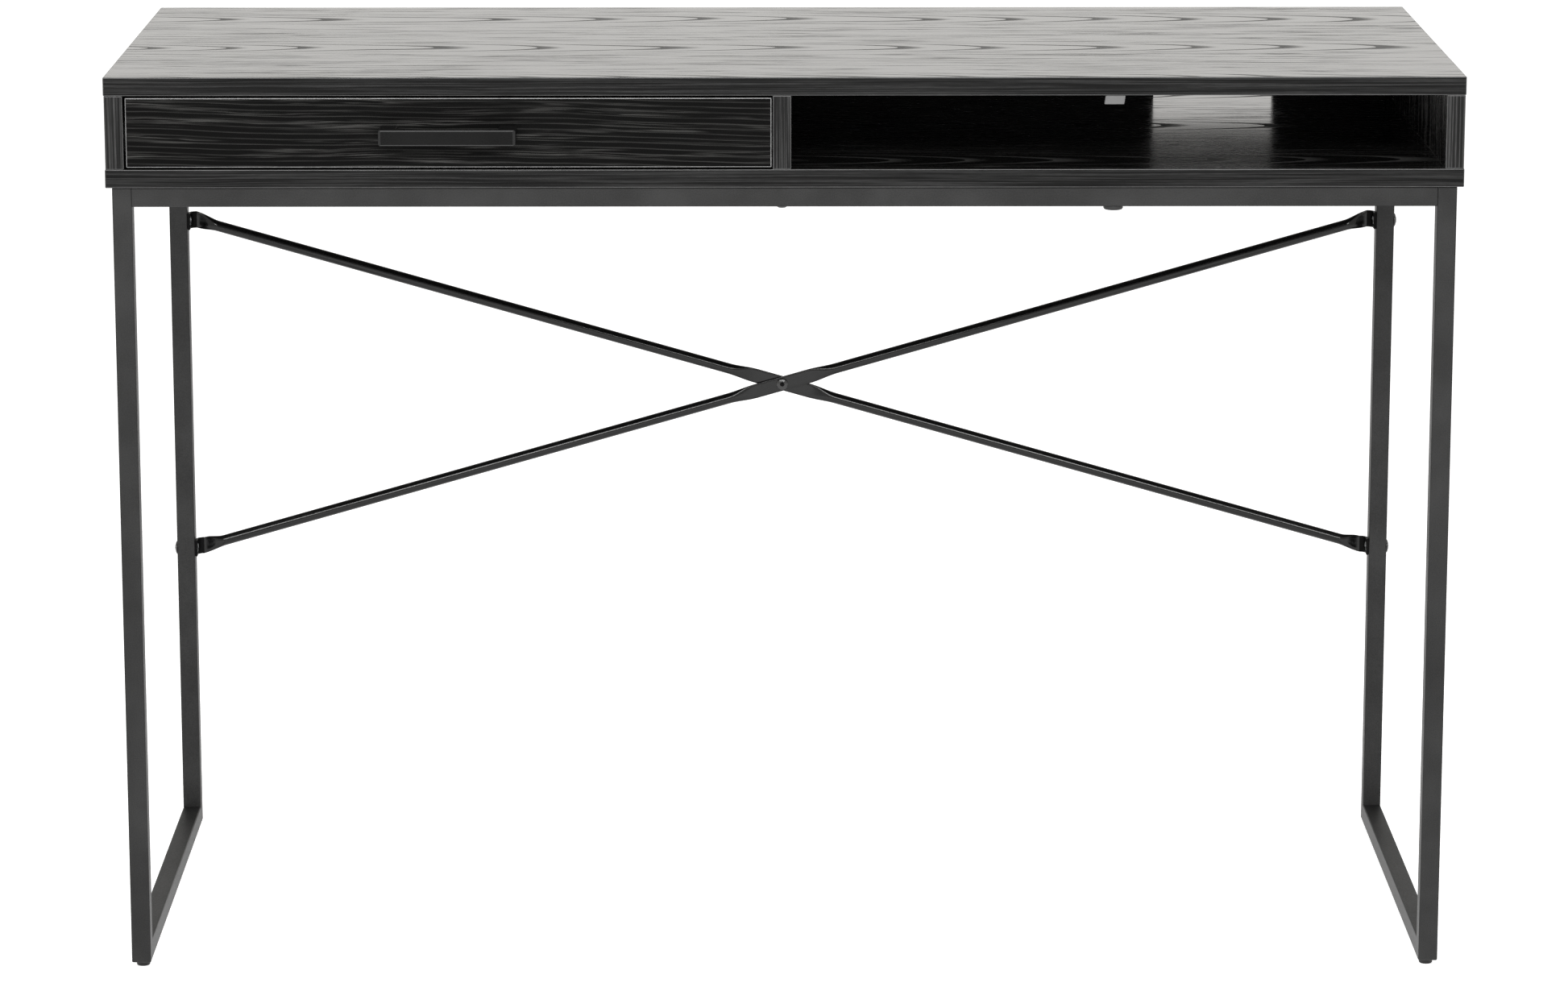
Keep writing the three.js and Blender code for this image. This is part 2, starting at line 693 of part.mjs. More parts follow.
// A square tube along X between the side loops, open at its ends, with screw holes through it.
function makeRail(y, holeXs) {
  const half = TUBE / 2;
  const bore = half - TUBE_WALL;
  const ring = rectangularRing([-half, -half, half, half], [-bore, -bore, bore, bore]);
  const rail = extrudeAlongX(ring, RAIL_LENGTH).translate(-RAIL_LENGTH / 2, 0, 0);
  const holes = holeXs.map((x) =>
    rod(SCREW_RADIUS + CLEARANCE, [x, 0, -half - OVERCUT], [x, 0, half + OVERCUT]),
  );
  return cut(rail, holes).translate(0, y, FRAME_UNDERSIDE + half);
}

function makeFrame() {
  const frame = new THREE.Group();
  const sides = [
    ["left", -LEG_CENTRE],
    ["right", LEG_CENTRE],
  ];
  for (const [side, x] of sides) {
    frame.add(piece(`side_frame_${side}`, makeSideLoop(), "frame", [x, 0, 0]));
    ["front", "rear"].forEach((end, i) => {
      frame.add(piece(`foot_${side}_${end}`, makeFoot(), "foot", [x, FOOT_YS[i], 0]));
      const screwPlace = [x, FRONT_Y + FRAME_SCREW_YS[i], FRAME_UNDERSIDE];
      const screw = frameScrew(FRAME_SCREW_LENGTH);
      frame.add(piece(`frame_screw_${side}_${end}`, screw, "blackBolt", screwPlace));
    });
  }
  frame.add(piece("front_rail", makeRail(FRONT_RAIL_Y, [DIVIDER_X, PAD_X]), "frame"));
  frame.add(piece("rear_rail", makeRail(REAR_RAIL_Y, [DIVIDER_X]), "frame"));
  for (const [end, y] of [
    ["front", FRONT_RAIL_Y],
    ["rear", REAR_RAIL_Y],
  ]) {
    const place = [DIVIDER_X, y, FRAME_UNDERSIDE];
    frame.add(piece(`${end}_rail_screw`, frameScrew(RAIL_SCREW_LENGTH), "blackBolt", place));
  }
  frame.add(piece("rail_pad", makePad(), "foot", [PAD_X, FRONT_RAIL_Y, FRAME_UNDERSIDE]));
  return frame;
}

// A round glide with a stem pushed up into the tube.
function makeFoot() {
  return turned([
    [0, 0],
    [FOOT_RADIUS - 0.8, 0],
    [FOOT_RADIUS, 0.8],
    [FOOT_RADIUS, FOOT_HEIGHT],
    [FOOT_STEM_RADIUS, FOOT_HEIGHT],
    [FOOT_STEM_RADIUS, FOOT_HEIGHT + FOOT_STEM],
    [0, FOOT_HEIGHT + FOOT_STEM],
  ]);
}

// A round plastic pad under the front rail, with a stem pushed up into the tube.
function makePad() {
  return turned([
    [0, -PAD_HEIGHT],
    [PAD_RADIUS - 1.5, -PAD_HEIGHT],
    [PAD_RADIUS, -PAD_HEIGHT + 1.2],
    [PAD_RADIUS, 0],
    [SCREW_RADIUS, 0],
    [SCREW_RADIUS, PAD_STEM],
    [0, PAD_STEM],
  ]);
}

// ---- Cross brace ----

// A closed ring of points about a centre: half a width along one direction and half a thickness along
// another, anticlockwise for someone looking back along the brace. Squareness goes from 0, an ellipse,
// to 1, nearly a rectangle.
function braceSection({ centre, across, through, width, thickness, squareness }) {
  const power = 1 - 0.7 * squareness;
  const shaped = (value) => Math.sign(value) * Math.abs(value) ** power;
  return Array.from({ length: BRACE_SIDES }, (_, i) => {
    const angle = -((i + 0.5) / BRACE_SIDES) * 2 * Math.PI;
    return centre
      .clone()
      .addScaledVector(across, (shaped(Math.cos(angle)) * width) / 2)
      .addScaledVector(through, (shaped(Math.sin(angle)) * thickness) / 2);
  });
}

// The sections of half a brace, from its middle to the tab on a rear leg. The end is -1 for the left
// leg and 1 for the right, rise is -1 or 1 for a tab below or above the crossing, and flatY is
// where the pressed middle lies.
function halfBraceSections(end, rise, flatY) {
  const middle = new THREE.Vector3(0, BRACE_Y, CROSSING_Z);
  const run = LEG_INNER - PRESSED_THICKNESS / 2 - TAB_BEND;
  const climb = rise * BRACE_HALF_CLIMB;
  const length = Math.hypot(run, climb);
  const along = new THREE.Vector3(end * run, 0, climb).divideScalar(length);
  const up = new THREE.Vector3(0, 0, 1);
  const depth = new THREE.Vector3(0, 1, 0);
  const square = new THREE.Vector3().crossVectors(along, depth).multiplyScalar(end);

  // On the straight: pressed is 0 in the round tube and 1 where it is flat.
  const straight = (distance, pressed, pressedY, pressedWidth) => {
    const centre = middle.clone().addScaledVector(along, distance);
    centre.y = THREE.MathUtils.lerp(BRACE_Y, pressedY, pressed);
    const nearEnd = THREE.MathUtils.smoothstep(distance, length - TAB_TAPER, length);
    return {
      centre,
      across: square.clone().lerp(up, nearEnd).normalize(),
      through: depth,
      width: THREE.MathUtils.lerp(2 * BRACE_RADIUS, pressedWidth, pressed),
      thickness: THREE.MathUtils.lerp(2 * BRACE_RADIUS, PRESSED_THICKNESS, pressed),
      squareness: pressed,
    };
  };

  const sections = [0, CROSSING_FLAT].map((d) => straight(d, 1, flatY, CROSSING_WIDTH));
  for (const step of [0.35, 0.7, 1]) {
    const distance = CROSSING_FLAT + step * CROSSING_TAPER;
    sections.push(straight(distance, 1 - step, flatY, CROSSING_WIDTH));
  }
  for (const step of [0, 0.3, 0.6, 0.85, 1]) {
    const distance = length - TAB_TAPER * (1 - step);
    sections.push(straight(distance, step, BLADE_Y, TAB_WIDTH));
  }

  // Round the bend towards the front, and along the leg's inner face.
  const tabZ = middle.z + climb;
  const bendX = end * run;
  const bent = (x, y, angle) => ({
    centre: new THREE.Vector3(x, y, tabZ),
    across: up,
    through: new THREE.Vector3(end * Math.sin(angle), Math.cos(angle), 0),
    width: TAB_WIDTH,
    thickness: PRESSED_THICKNESS,
    squareness: 1,
  });
  for (const degrees of [30, 60, 90]) {
    const angle = THREE.MathUtils.degToRad(degrees);
    const x = bendX + end * TAB_BEND * Math.sin(angle);
    const y = BLADE_Y - TAB_BEND * (1 - Math.cos(angle));
    sections.push(bent(x, y, angle));
  }
  sections.push(bent(end * (run + TAB_BEND), TAB_FRONT_Y, Math.PI / 2));
  return sections;
}

// A whole brace. Slope is 1 when it rises to the right, and -1 when it falls.
function makeBrace(slope, flatY) {
  const left = halfBraceSections(-1, -slope, flatY);
  const right = halfBraceSections(1, slope, flatY);
  const sections = [...left.slice(1).reverse(), ...right].map(braceSection);
  const brace = new LoftGeometry(sections, { capStart: true, capEnd: true });
  const holes = [-1, 1].map((end) =>
    endBoltHole(CROSSING_Z + end * slope * BRACE_HALF_CLIMB).translate(end * LEG_INNER, 0, 0),
  );
  const crossing = rod(
    BOLT_RADIUS + CLEARANCE,
    [0, FRAME_BACK - TUBE, CROSSING_Z],
    [0, FRAME_BACK + OVERCUT, CROSSING_Z],
  );
  return cut(brace, [...holes, crossing]);
}

function makeBraces() {
  const braces = new THREE.Group();
  const flatOffset = PRESSED_THICKNESS / 2 + CLEARANCE;
  const headY = BRACE_Y - flatOffset - PRESSED_THICKNESS / 2;
  const nutY = BRACE_Y + flatOffset + PRESSED_THICKNESS / 2;
  braces.add(piece("brace_front", makeBrace(1, BRACE_Y - flatOffset), "frame"));
  braces.add(piece("brace_rear", makeBrace(-1, BRACE_Y + flatOffset), "frame"));

  const boltLength = nutY + NUT_HEIGHT - headY;
  const boltGeometry = domedBolt(CENTRE_BOLT_HEAD_RADIUS, CENTRE_BOLT_HEAD_HEIGHT, boltLength);
  const bolt = piece("crossing_bolt", boltGeometry, "blackBolt", [0, headY, CROSSING_Z]);
  bolt.rotation.x = -Math.PI / 2;
  braces.add(bolt);

  const nutBore = rod(BOLT_RADIUS + CLEARANCE, [0, -OVERCUT, 0], [0, NUT_HEIGHT + OVERCUT, 0]);
  const nutGeometry = cut(rod(NUT_RADIUS, [0, 0, 0], [0, NUT_HEIGHT, 0], 6), [nutBore]);
  braces.add(piece("crossing_nut", nutGeometry, "blackBolt", [0, nutY, CROSSING_Z]));

  // The upper left end stands without its bolt, and its hole is open.
  const shank = TUBE + PRESSED_THICKNESS;
  for (const [side, level, direction, z] of [
    ["left", "lower", 1, BRACE_BOTTOM_Z],
    ["right", "upper", -1, BRACE_TOP_Z],
    ["right", "lower", -1, BRACE_BOTTOM_Z],
  ]) {
    const geometry = domedBolt(END_BOLT_HEAD_RADIUS, END_BOLT_HEAD_HEIGHT, shank);
    const place = [-direction * LEG_OUTER, END_BOLT_Y, z];
    const endBolt = piece(`brace_bolt_${side}_${level}`, geometry, "blackBolt", place);
    endBolt.rotation.y = (direction * Math.PI) / 2;
    braces.add(endBolt);
  }
  return braces;
}

// ---- The desk ----

const desk = new THREE.Group();
const carcass = makeCarcass();
carcass.add(makeClip());
desk.add(carcass, makeDrawer(), makeRunners(-1, "left"), makeRunners(1, "right"));
desk.add(makeFrame(), makeBraces());

export default desk;
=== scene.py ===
"""The looks of a black writing desk with one drawer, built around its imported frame.

Lengths are in metres, in the frame's own axes: X to the right, Y to the back and Z up. A piece's
mesh lies where the frame says, so its object coordinates are the frame's coordinates too.
"""

import json
import math

import bmesh
import bpy
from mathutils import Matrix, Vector


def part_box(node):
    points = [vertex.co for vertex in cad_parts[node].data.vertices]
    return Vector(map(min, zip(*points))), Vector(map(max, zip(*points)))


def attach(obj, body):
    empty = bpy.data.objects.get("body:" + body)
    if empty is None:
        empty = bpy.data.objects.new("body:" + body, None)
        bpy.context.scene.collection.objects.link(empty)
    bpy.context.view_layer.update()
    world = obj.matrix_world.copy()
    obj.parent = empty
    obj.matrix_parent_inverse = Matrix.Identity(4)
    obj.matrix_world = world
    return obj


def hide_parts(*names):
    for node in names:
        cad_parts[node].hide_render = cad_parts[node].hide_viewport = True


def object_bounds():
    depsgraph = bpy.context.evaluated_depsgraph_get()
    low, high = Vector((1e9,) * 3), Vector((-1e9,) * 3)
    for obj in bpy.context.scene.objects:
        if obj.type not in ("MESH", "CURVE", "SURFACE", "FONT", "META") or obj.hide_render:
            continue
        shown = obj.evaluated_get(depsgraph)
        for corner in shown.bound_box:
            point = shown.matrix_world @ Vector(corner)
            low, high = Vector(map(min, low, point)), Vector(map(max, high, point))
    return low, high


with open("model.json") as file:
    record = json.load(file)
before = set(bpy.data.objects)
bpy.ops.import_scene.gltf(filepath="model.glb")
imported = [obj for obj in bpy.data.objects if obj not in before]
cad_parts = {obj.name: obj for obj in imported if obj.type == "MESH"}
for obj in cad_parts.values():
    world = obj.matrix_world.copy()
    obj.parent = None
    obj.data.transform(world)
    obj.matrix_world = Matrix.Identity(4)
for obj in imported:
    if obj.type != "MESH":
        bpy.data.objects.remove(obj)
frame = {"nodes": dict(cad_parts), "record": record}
cad_low, cad_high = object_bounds()

MM = 0.001
AXES = {"x": 0, "y": 1, "z": 2}

# Meshes: points this close are one point, and faces within the flat angle are one face. Edges past
# the corner angle are rounded, and edges past a sharp angle are shaded sharp. A face whose normal
# has a part this large along an axis is square to it.
MERGE = 1e-6
FLAT_ANGLE = math.radians(0.5)
CORNER_ANGLE = math.radians(50)
SHARP_ANGLE = math.radians(35)
BRACE_SHARP_ANGLE = math.radians(45)
SQUARE_TO_AXIS = 0.95
ROUND_SIDES = 48
DOME_STEPS = 8

# How far edges are rounded. Edges up to the short edge's length, such as a hole's facets, stay as
# they are.
BOARD_ROUNDING = 0.7 * MM
BOARD_SHORT_EDGE = 6 * MM
TUBE_ROUNDING = 1.2 * MM
TUBE_SHORT_EDGE = 10 * MM
RAIL_SHORT_EDGE = 100 * MM
SHEET_ROUNDING = 0.35 * MM
RUNNER_SHORT_EDGE = 0.8 * MM
NUT_SHORT_EDGE = 2.5 * MM
SMALL_SHORT_EDGE = 3 * MM
HANDLE_CHAMFER = 0.9 * MM
CLIP_ROUNDING = 0.6 * MM

# Wood grain: how the growth rings taper along the board, how deep the pith lies, and how far apart
# and how wide the pointed flames are
RING_TAPER = 0.045
RING_DEPTH = 60 * MM
RING_WANDER = 9 * MM
FLAME_PERIOD = 188 * MM
FLAME_HALF_WIDTH = 26 * MM
FLAME_SOFTNESS = 0.4
ONE_CENTRE_LINE = 2.0
STRAIGHT_GRAIN = {"centre": -2.0, "period": 6.0}

# Cross brace of round tube, pressed flat at its ends and where it crosses
BRACE_RADIUS = 4.75 * MM
CROSSING_SETBACK = 5.5 * MM
BLADE_SETBACK = 1 * MM
LEG_DEPTH = 16 * MM
PRESSED_THICKNESS = 2.4 * MM
PRESSED_GAP = 0.3 * MM
CROSSING_WIDTH = 12.7 * MM
CROSSING_FLAT = 24 * MM
CROSSING_TAPER = 26 * MM
TAB_WIDTH = 14.8 * MM
TAB_BEND = 6 * MM
TAB_TAPER = 20 * MM
PRESSED_SQUARENESS = 0.7
BRACE_SIDES = 40
TAPER_STEPS = 12
PLAIN_STEPS = 10
BEND_STEPS = 8
BOLT_HOLE_RADIUS = 3.3 * MM
BOLT_HOLE_LENGTH = 12 * MM

# Hexagon sockets: the drilled tip's depth as a share of the radius, and a dome's socket's depth as
# a share of its height
SOCKET_TIP = 0.6
DOME_SOCKET = 1.1

# Camera
CAMERA_PLACE = (-26 * MM, -4617 * MM, 1362 * MM)
CAMERA_PITCH = math.radians(12.23)
CAMERA_YAW = 0.0057
CAMERA_LENS = 126.4
CAMERA_REACH = 300.0

# Studio: the room is brightest level with the horizon and fades between two heights, which are
# sines of the elevation
FLOOR_REACH = 60.0
FLOOR_GLOW = 0.72
ROOM_COLOUR = (1.0, 0.985, 0.955, 1)
ROOM_FADE = (0.3, 0.7)
ROOM_LEVELS = (1.13, 0.15)


# ---- Materials ----


class Look:
    """A material being made, with short calls for its nodes."""

    def __init__(self, name):
        self.material = bpy.data.materials.new(name)
        self.material.use_nodes = True
        self.tree = self.material.node_tree
        self.shader = self.tree.nodes["Principled BSDF"]
        self.place = self.add("ShaderNodeTexCoord").outputs["Object"]

    def add(self, kind, inputs=None, **settings):
        """A new node with these inputs, which go by number or name, and these settings."""
        node = self.tree.nodes.new(kind)
        for name, value in settings.items():
            setattr(node, name, value)
        for key, value in (inputs or {}).items():
            self.feed(node.inputs[key], value)
        return node

    def feed(self, socket, value):
        """A socket takes either another node's output or a constant."""
        if isinstance(value, bpy.types.NodeSocket):
            self.tree.links.new(value, socket)
        else:
            socket.default_value = value

    def math(self, operation, *values):
        """The result of arithmetic on these values."""
        return self.add("ShaderNodeMath", dict(enumerate(values)), operation=operation).outputs[0]

    def vector(self, x, y, z):
        return self.add("ShaderNodeCombineXYZ", {0: x, 1: y, 2: z}).outputs[0]

    def split(self):
        """The object's own x, y and z."""
        return self.add("ShaderNodeSeparateXYZ", {0: self.place}).outputs

    def noise(self, vector, scale=1.0, detail=2.0):
        """Cloudy noise, which stays near 0.5."""
        inputs = {"Vector": vector, "Scale": scale, "Detail": detail}
        return self.add("ShaderNodeTexNoise", inputs).outputs["Fac"]

    def streaks(self, run, side, normal, length, width, detail=2.0):
        """Noise drawn out along the run, in streaks of about this length and width."""
        place = self.vector(
            self.math("DIVIDE", run, length),
            self.math("DIVIDE", side, width),
            self.math("DIVIDE", normal, width),
        )
        return self.noise(place, detail=detail)

    def remap(self, value, start, end, low=0.0, high=1.0):
        """Carries value smoothly from start..end to low..high, and holds it beyond them."""
        inputs = {0: value, 1: start, 2: end, 3: low, 4: high}
        node = self.add("ShaderNodeMapRange", inputs, interpolation_type="SMOOTHSTEP")
        return node.outputs[0]

    def mix(self, factor, first, second):
        """A colour that goes from the first to the second as the factor goes from 0 to 1."""
        colours = {0: factor, 6: (*first, 1), 7: (*second, 1)}
        return self.add("ShaderNodeMix", colours, data_type="RGBA").outputs[2]

    def bump(self, height, distance):
        """Relief that is this distance high where the height is 1."""
        inputs = {"Height": height, "Distance": distance}
        normal = self.add("ShaderNodeBump", inputs).outputs["Normal"]
        self.tree.links.new(normal, self.shader.inputs["Normal"])

    def set(self, **values):
        """Feeds the shader's sockets, which are named here in small letters with underscores."""
        for name, value in values.items():
            title = name.replace("_", " ").title().replace("Ior", "IOR")
            self.feed(self.shader.inputs[title], value)


def grain(look, along, across, centre, period, spacing, wander, lean):
    """The parts of wood grain at a point: rings, flames, streaks and pores, each from 0 to 1.

    The board is a flat cut through growth rings round a pith that leans, which gives pointed
    flames along each centre line and straight grain between. A centre far outside the board
    leaves only near-parallel lines, which lean across it.
    """
    axes = look.split()
    run = axes[AXES[along]]
    side = axes[AXES[across]]
    normal = axes[3 - AXES[along] - AXES[across]]
    drift = look.streaks(run, side, normal, length=310 * MM, width=90 * MM, detail=3.0)
    drift = look.math("MULTIPLY", look.math("SUBTRACT", drift, 0.5), wander)
    moved = look.math("ADD", look.math("MULTIPLY_ADD", run, lean, side), drift)
    distance = look.math("PINGPONG", look.math("SUBTRACT", moved, centre), period / 2)
    bend = look.streaks(run, side, normal, length=260 * MM, width=120 * MM, detail=1.0)
    rise = look.math("MULTIPLY_ADD", run, RING_TAPER, RING_DEPTH)
    height = look.math("MULTIPLY_ADD", bend, RING_WANDER, rise)
    squares = [look.math("POWER", length, 2.0) for length in (distance, height)]
    radius = look.math("SQRT", look.math("ADD", *squares))
    share = look.math("FRACT", look.math("DIVIDE", radius, spacing))
    ring = look.math("POWER", look.math("SUBTRACT", 1.0, share), 2.0)
    inner = (1 - FLAME_SOFTNESS) * FLAME_HALF_WIDTH
    outer = (1 + FLAME_SOFTNESS) * FLAME_HALF_WIDTH
    flame = look.remap(distance, inner, outer, 1.0, 0.0)
    medium = look.streaks(run, moved, normal, length=120 * MM, width=4.5 * MM)
    pores = look.streaks(run, moved, normal, length=38 * MM, width=0.9 * MM)
    return ring, flame, medium, pores


def wood(
    name, along, across, centre, period=FLAME_PERIOD, spacing=4 * MM, wander=14 * MM, lean=0.0,
    ground=0.006, streak=0.05, level=0.5, gloss=0.16, dull=0.7, thin=0.27, even=0.0,
):
    """Black wood-grain melamine. Its grain is pressed in, and is duller and a little lighter.

    ground and streak are the greys of the plain surface and of the grain, and gloss and dull are
    their roughnesses. thin is the part of a ring that shows no line, and even is how much of the
    ring lines stays where the wood is quiet. In a flame the rings show at full strength and the
    streaks fade.
    """
    look = Look(name)
    ring, flame, medium, pores = grain(look, along, across, centre, period, spacing, wander, lean)
    quiet = look.math("MAXIMUM", look.remap(medium, 0.3, 0.65, even, 0.6), flame)
    lines = look.math("MULTIPLY", look.remap(ring, thin, 0.95), quiet)
    broken = look.remap(pores, 0.42, 0.62)
    faint = look.math("MULTIPLY", look.remap(medium, 0.45, 0.7), broken)
    faint = look.math("MULTIPLY", faint, look.remap(flame, 0.0, 1.0, 0.85, 0.15))
    tone = look.math("MAXIMUM", faint, lines)
    tone = look.math("MULTIPLY", tone, look.remap(pores, 0.3, 0.6, 0.35, 1.0))
    look.set(
        base_color=look.mix(tone, warm_grey(ground), warm_grey(streak)),
        roughness=look.remap(tone, 0.0, 1.0, gloss, dull),
        specular_ior_level=level,
    )
    relief = look.math("ADD", look.math("MULTIPLY", tone, -1.0), look.math("MULTIPLY", pores, 0.35))
    look.bump(relief, 0.03 * MM)
    return look.material


def warm_grey(level):
    """A grey with a little less blue in it, as the printed wood has."""
    return level, level * 0.99, level * 0.95


def edge_band(name, along, across, ground=0.002, streak=0.019):
    """The printed band glued round a board's edges, with streaks along it."""
    look = Look(name)
    axes = look.split()
    run = axes[AXES[along]]
    side = axes[AXES[across]]
    drift = look.noise(look.vector(run, 0.0, 0.0), scale=5.0)
    moved = look.math("MULTIPLY_ADD", drift, 3 * MM, side)
    broad = look.streaks(run, moved, 0.0, length=160 * MM, width=1.5 * MM)
    fine = look.streaks(run, moved, 0.0, length=12 * MM, width=0.5 * MM)
    tone = look.math("MULTIPLY", look.remap(broad, 0.38, 0.66), look.remap(fine, 0.2, 0.7, 0.4, 1.0))
    look.set(
        base_color=look.mix(tone, (ground,) * 3, (streak,) * 3),
        roughness=look.remap(tone, 0.0, 1.0, 0.42, 0.6),
        specular_ior_level=0.08,
    )
    look.bump(look.math("MULTIPLY", tone, -1.0), 0.04 * MM)
    return look.material


def painted_highlight_edge(name, least, most):
    """The rounded edge of a board, painted lighter in noisy patches: a painted highlight along the
    edge.
    """
    look = Look(name)
    highlight_patches = look.noise(look.place, scale=90.0, detail=3.0)
    fine = look.noise(look.place, scale=900.0)
    tone = look.math("MULTIPLY", look.remap(highlight_patches, 0.3, 0.7, 0.5, 1.0), fine)
    look.set(base_color=look.mix(tone, (least,) * 3, (most,) * 3), roughness=0.4)
    look.bump(fine, 0.02 * MM)
    return look.material


def coating(name, dark, light, roughness, grit=0.7 * MM, relief=0.03 * MM, level=0.5):
    """Paint, powder coat or moulded plastic: an even colour with a fine orange peel."""
    look = Look(name)
    peel = look.noise(look.place, scale=1 / grit)
    cloud = look.noise(look.place, scale=22.0, detail=3.0)
    tone = look.math("MULTIPLY_ADD", peel, 0.55, look.math("MULTIPLY", cloud, 0.45))
    look.set(
        base_color=look.mix(look.remap(tone, 0.3, 0.7), (dark,) * 3, (light,) * 3),
        roughness=look.remap(peel, 0.3, 0.7, roughness - 0.05, roughness + 0.05),
        specular_ior_level=level,
    )
    look.bump(peel, relief)
    return look.material


def zinc_plate():
    """Bright zinc with its patchy spangle and fine rolling lines along the sheet."""
    look = Look("zinc_plate")
    patches = look.add("ShaderNodeTexVoronoi", {"Vector": look.place, "Scale": 420.0})
    axes = look.split()
    lines = look.streaks(axes[1], axes[0], axes[2], length=17 * MM, width=0.4 * MM)
    spangle = look.math("MULTIPLY", patches.outputs["Distance"], 0.6)
    tone = look.math("MULTIPLY_ADD", lines, 0.4, spangle)
    dark = (0.36, 0.37, 0.38)
    bright = (0.6, 0.61, 0.62)
    look.set(
        base_color=look.mix(look.remap(tone, 0.1, 0.7), dark, bright),
        roughness=look.remap(tone, 0.1, 0.8, 0.28, 0.45),
        metallic=0.95,
    )
    look.bump(lines, 0.01 * MM)
    return look.material


def beech_wood():
    """Pale beech with short dark flecks along Z, for the dowels."""
    look = Look("beech_wood")
    axes = look.split()
    fleck = look.streaks(axes[2], axes[0], axes[1], length=8 * MM, width=0.7 * MM, detail=3.0)
    pale = (0.52, 0.35, 0.2)
    dark = (0.3, 0.18, 0.09)
    look.set(base_color=look.mix(look.remap(fleck, 0.4, 0.7), pale, dark), roughness=0.7)
    look.bump(fleck, 0.03 * MM)
    return look.material


def make_materials():
    """Every material by its short name."""
    inside = {"level": 0.4, "gloss": 0.35}
    fine = {"relief": 0.01 * MM}
    return {
        "top": wood("wood_top", "x", "y", centre=-30 * MM),
        "shelf": wood(
            "wood_shelf", "x", "y", centre=28 * MM, ground=0.003, streak=0.025, level=0.42,
            gloss=0.17,
        ),
        "front": wood(
            "wood_drawer_front", "x", "z", centre=330 * MM, period=ONE_CENTRE_LINE,
            spacing=4.5 * MM, wander=15 * MM, lean=0.012, ground=0.0012, streak=0.036,
            level=0.04, gloss=0.4, thin=0.5, even=0.4,
        ),
        "back": wood(
            "wood_back", "x", "z", centre=350 * MM, period=ONE_CENTRE_LINE, spacing=5 * MM,
            wander=26 * MM, lean=-0.01, ground=0.003, streak=0.035, level=0.15, gloss=0.35,
            thin=0.45,
        ),
        "upright": wood(
            "wood_upright", "z", "y", spacing=5 * MM, wander=9 * MM, streak=0.04, thin=0.5,
            **STRAIGHT_GRAIN,
        ),
        "box_side": wood("wood_box_side", "y", "z", centre=700 * MM, **inside),
        "box_back": wood("wood_box_back", "x", "z", centre=706 * MM, **inside),
        "box_bottom": wood(
            "wood_box_bottom", "x", "y", spacing=7 * MM, streak=0.045, thin=0.4,
            **STRAIGHT_GRAIN, **inside,
        ),
        "band_x": edge_band("edge_band_x", "x", "z"),
        "band_z": edge_band("edge_band_z", "z", "x", ground=0.005, streak=0.036),
        "band_y": edge_band("edge_band_y", "y", "z"),
        # The boards' rounded edges are painted lighter as painted highlights; the drawer front's are
        # the lightest
        "edge_highlight": painted_highlight_edge("painted_highlight_edge", 0.01, 0.06),
        "front_edge_highlight": painted_highlight_edge("painted_highlight_front_edge", 0.05, 0.26),
        "powder": coating("powder_coat", 0.001, 0.013, 0.5, grit=0.9 * MM, level=0.26),
        "brace": coating("brace_paint", 0.001, 0.003, 0.17, level=0.28, **fine),
        # A copy of the brace paint that reflects far less: painted shade in the brace's bends
        "bend_shade": coating("bend_painted_shade", 0.001, 0.003, 0.4, level=0.04, **fine),
        "handle": coating("handle_black", 0.002, 0.005, 0.3, grit=0.3 * MM, level=0.08, **fine),
        # A lighter, more reflective copy of the handle's coating for its chamfers: a painted
        # highlight
        "handle_highlight_edge": coating("handle_highlight_edge", 0.003, 0.008, 0.25, grit=0.3 * MM, level=0.3, **fine),
        "bolt": coating("black_steel", 0.008, 0.016, 0.22, grit=0.4 * MM, **fine),
        "runner": coating("runner_black", 0.02, 0.034, 0.4, grit=0.4 * MM, **fine),
        "plastic": coating("black_plastic", 0.006, 0.012, 0.5, grit=0.5 * MM, level=0.3),
        "clip": coating("grey_plastic", 0.085, 0.115, 0.55, grit=0.5 * MM, level=0.2),
        "roller": coating("white_plastic", 0.62, 0.72, 0.45, grit=0.6 * MM, **fine),
        "zinc": zinc_plate(),
        "beech": beech_wood(),
    }


# ---- Making pieces ----


def add_object(name, data):
    """A new object in the scene."""
    made = bpy.data.objects.new(name, data)
    bpy.context.scene.collection.objects.link(made)
    return made


def body_of(node):
    """The body that a CAD node belongs to."""
    bodies = frame["record"]["behaviour"]["bodies"]
    return next(body for body, nodes in bodies.items() if node in nodes)


def add_piece(node, shape, materials):
    """Makes a bmesh into the piece that stands for a CAD node."""
    name = f"{node}_look"
    mesh = bpy.data.meshes.new(name)
    shape.to_mesh(mesh)
    shape.free()
    for material in materials:
        mesh.materials.append(material)
    piece = add_object(name, mesh)
    weighted = piece.modifiers.new("even_shading", "WEIGHTED_NORMAL")
    weighted.keep_sharp = True
    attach(piece, body_of(node))
    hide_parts(node)


def shade(shape, sharper_than=SHARP_ANGLE):
    """Smooth faces, with sharp edges where they meet at more than this angle."""
    for face in shape.faces:
        face.smooth = True
    for edge in shape.edges:
        edge.smooth = edge.is_manifold and edge.calc_face_angle() < sharper_than


def copied(node):
    """A bmesh of a CAD node, with its flat faces made whole."""
    shape = bmesh.new()
    shape.from_mesh(frame["nodes"][node].data)
    bmesh.ops.remove_doubles(shape, verts=shape.verts, dist=MERGE)
    bmesh.ops.dissolve_limit(shape, angle_limit=FLAT_ANGLE, verts=shape.verts, edges=shape.edges)
    for face in shape.faces:
        face.material_index = 0
    return shape


